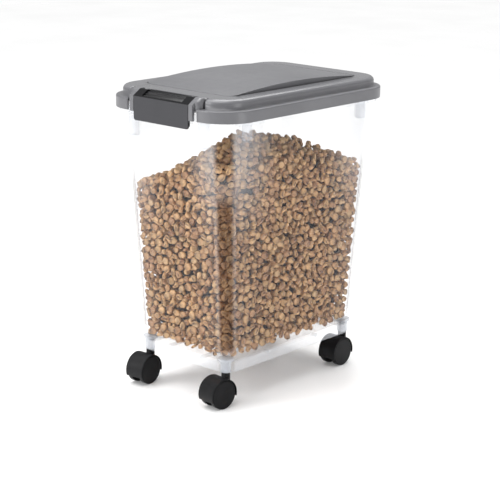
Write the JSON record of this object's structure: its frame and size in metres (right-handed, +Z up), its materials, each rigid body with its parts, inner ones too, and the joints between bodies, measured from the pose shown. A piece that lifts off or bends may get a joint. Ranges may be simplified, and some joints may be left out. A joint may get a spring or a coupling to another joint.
{
  "type": "pet food bin",
  "caption": "Rolling dry pet food bin: clear tapered tub, gasketed hinged lid with an arched panel and front snap latch, on twin-wheel swivel casters.",
  "frame": {"origin": "on the floor, under the middle of the bin's bounding box", "axes": "+X across the bin, +Y from the latch at the front to the hinge at the rear, +Z up"},
  "size_m": [0.277, 0.424, 0.518],
  "materials": {
    "clear_plastic": "clear, polished inside and out",
    "lid_grey": "satin moulded",
    "latch_black": "semi-gloss moulded",
    "black_plastic": "fine-grained moulded",
    "wheel_black": "smooth moulded",
    "nylon": "natural nylon",
    "steel": "zinc plated",
    "seal": "soft foam rubber"
  },
  "bodies": {
    "bin": {"tub": "clear_plastic", "stem_front_right": "steel", "stem_sleeve_front_right": "nylon", "stem_front_left": "steel", "stem_sleeve_front_left": "nylon", "stem_rear_right": "steel", "stem_sleeve_rear_right": "nylon", "stem_rear_left": "steel", "stem_sleeve_rear_left": "nylon"},
    "lid": {"lid": "lid_grey", "lid_gasket": "seal", "latch_pin_left": "steel", "latch_pin_right": "steel", "hinge_pin_left": "steel", "hinge_pin_right": "steel"},
    "latch": {"latch": "latch_black"},
    "caster_front_right": {"caster_hood_front_right": "black_plastic", "caster_axle_front_right": "steel"},
    "wheel_front_right_a": {"wheel_front_right_a": "wheel_black"},
    "wheel_front_right_b": {"wheel_front_right_b": "wheel_black"},
    "caster_front_left": {"caster_hood_front_left": "black_plastic", "caster_axle_front_left": "steel"},
    "wheel_front_left_a": {"wheel_front_left_a": "wheel_black"},
    "wheel_front_left_b": {"wheel_front_left_b": "wheel_black"},
    "caster_rear_right": {"caster_hood_rear_right": "black_plastic", "caster_axle_rear_right": "steel"},
    "wheel_rear_right_a": {"wheel_rear_right_a": "wheel_black"},
    "wheel_rear_right_b": {"wheel_rear_right_b": "wheel_black"},
    "caster_rear_left": {"caster_hood_rear_left": "black_plastic", "caster_axle_rear_left": "steel"},
    "wheel_rear_left_a": {"wheel_rear_left_a": "wheel_black"},
    "wheel_rear_left_b": {"wheel_rear_left_b": "wheel_black"}
  },
  "joints": [
    {"name": "lid_hinge", "type": "hinge", "parent": "bin", "child": "lid", "pos_m": [0, 0.2083, 0.47], "axis": [-1, 0, 0], "range_deg": [0, 110]},
    {"name": "latch_pivot", "type": "hinge", "parent": "lid", "child": "latch", "pos_m": [0, -0.19441, 0.5032], "axis": [-1, 0, 0], "range_deg": [0, 95]},
    {"name": "swivel_front_right", "type": "hinge", "parent": "bin", "child": "caster_front_right", "pos_m": [0.0874, -0.1505, 0.048], "axis": [0, 0, 1], "continuous": true},
    {"name": "roll_front_right_a", "type": "hinge", "parent": "caster_front_right", "child": "wheel_front_right_a", "pos_m": [0.08561, -0.16751, 0.02425], "axis": [0.9945, -0.1045, 0], "continuous": true},
    {"name": "roll_front_right_b", "type": "hinge", "parent": "caster_front_right", "child": "wheel_front_right_b", "pos_m": [0.08561, -0.16751, 0.02425], "axis": [0.9945, -0.1045, 0], "continuous": true},
    {"name": "swivel_front_left", "type": "hinge", "parent": "bin", "child": "caster_front_left", "pos_m": [-0.0874, -0.1505, 0.048], "axis": [0, 0, 1], "continuous": true},
    {"name": "roll_front_left_a", "type": "hinge", "parent": "caster_front_left", "child": "wheel_front_left_a", "pos_m": [-0.08591, -0.16753, 0.02425], "axis": [0.9962, 0.0872, 0], "continuous": true},
    {"name": "roll_front_left_b", "type": "hinge", "parent": "caster_front_left", "child": "wheel_front_left_b", "pos_m": [-0.08591, -0.16753, 0.02425], "axis": [0.9962, 0.0872, 0], "continuous": true},
    {"name": "swivel_rear_right", "type": "hinge", "parent": "bin", "child": "caster_rear_right", "pos_m": [0.0874, 0.1505, 0.048], "axis": [0, 0, 1], "continuous": true},
    {"name": "roll_rear_right_a", "type": "hinge", "parent": "caster_rear_right", "child": "wheel_rear_right_a", "pos_m": [0.0877, 0.1334, 0.02425], "axis": [0.9998, 0.0175, 0], "continuous": true},
    {"name": "roll_rear_right_b", "type": "hinge", "parent": "caster_rear_right", "child": "wheel_rear_right_b", "pos_m": [0.0877, 0.1334, 0.02425], "axis": [0.9998, 0.0175, 0], "continuous": true},
    {"name": "swivel_rear_left", "type": "hinge", "parent": "bin", "child": "caster_rear_left", "pos_m": [-0.0874, 0.1505, 0.048], "axis": [0, 0, 1], "continuous": true},
    {"name": "roll_rear_left_a", "type": "hinge", "parent": "caster_rear_left", "child": "wheel_rear_left_a", "pos_m": [-0.0874, 0.1334, 0.02425], "axis": [1, 0, 0], "continuous": true},
    {"name": "roll_rear_left_b", "type": "hinge", "parent": "caster_rear_left", "child": "wheel_rear_left_b", "pos_m": [-0.0874, 0.1334, 0.02425], "axis": [1, 0, 0], "continuous": true}
  ]
}
